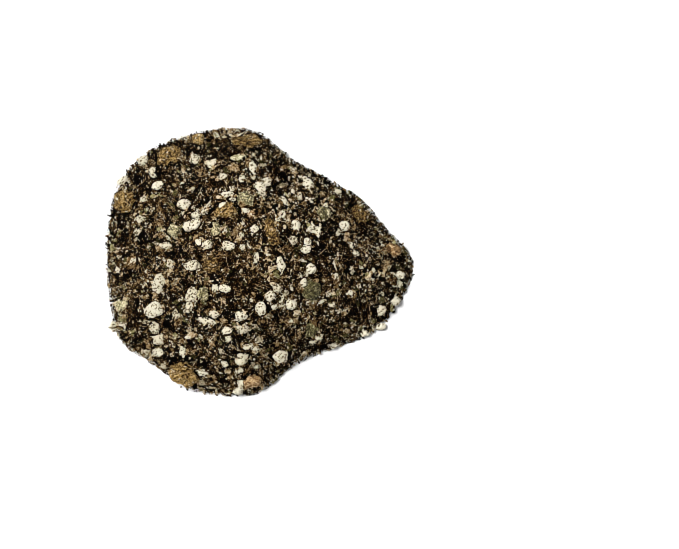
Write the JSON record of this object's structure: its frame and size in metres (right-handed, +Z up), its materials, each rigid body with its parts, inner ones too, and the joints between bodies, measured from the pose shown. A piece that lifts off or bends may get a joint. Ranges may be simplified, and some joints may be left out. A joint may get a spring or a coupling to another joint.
{
  "type": "heap of potting compost",
  "caption": "Double handful of dark potting compost in a low heap, with perlite, vermiculite, peat clods and bark chips showing.",
  "frame": {"origin": "centre of the foot, at the surface that the heap rests on", "axes": "+Z up; +X along the heap's longest side, towards its pointed end; +Y across"},
  "size_m": [0.0894, 0.078, 0.0317],
  "materials": {
    "compost": "matt, dark brown, crumbly fine peat and coir",
    "perlite": "matt, white, pitted expanded glass",
    "vermiculite": "layered, pale olive, slightly glossy flakes",
    "peat_clod": "matt, ochre brown, fibrous",
    "bark_chip": "matt, brown to olive, splintery",
    "seed_husk": "dull, pale olive, lengthwise ribs"
  },
  "bodies": {
    "root": {"bark_chip_01": "bark_chip", "bark_chip_02": "bark_chip", "bark_chip_03": "bark_chip", "bark_chip_04": "bark_chip", "compost_mass": "compost", "peat_clod_01": "peat_clod", "peat_clod_02": "peat_clod", "peat_clod_03": "peat_clod", "peat_clod_04": "peat_clod", "peat_clod_05": "peat_clod", "peat_clod_06": "peat_clod", "peat_clod_07": "peat_clod", "peat_clod_08": "peat_clod", "peat_clod_09": "peat_clod", "perlite_01": "perlite", "perlite_02": "perlite", "perlite_03": "perlite", "perlite_04": "perlite", "perlite_05": "perlite", "perlite_06": "perlite", "perlite_07": "perlite", "perlite_08": "perlite", "perlite_09": "perlite", "perlite_10": "perlite", "perlite_11": "perlite", "perlite_12": "perlite", "perlite_13": "perlite", "perlite_14": "perlite", "perlite_15": "perlite", "perlite_16": "perlite", "perlite_17": "perlite", "perlite_18": "perlite", "perlite_19": "perlite", "perlite_20": "perlite", "perlite_21": "perlite", "perlite_22": "perlite", "perlite_23": "perlite", "perlite_24": "perlite", "perlite_25": "perlite", "perlite_26": "perlite", "perlite_27": "perlite", "perlite_28": "perlite", "perlite_29": "perlite", "perlite_30": "perlite", "perlite_31": "perlite", "perlite_32": "perlite", "perlite_33": "perlite", "perlite_34": "perlite", "perlite_35": "perlite", "perlite_36": "perlite", "perlite_37": "perlite", "perlite_38": "perlite", "seed_husk": "seed_husk", "vermiculite_01": "vermiculite", "vermiculite_02": "vermiculite", "vermiculite_03": "vermiculite", "vermiculite_04": "vermiculite", "vermiculite_05": "vermiculite", "vermiculite_06": "vermiculite"}
  },
  "joints": []
}
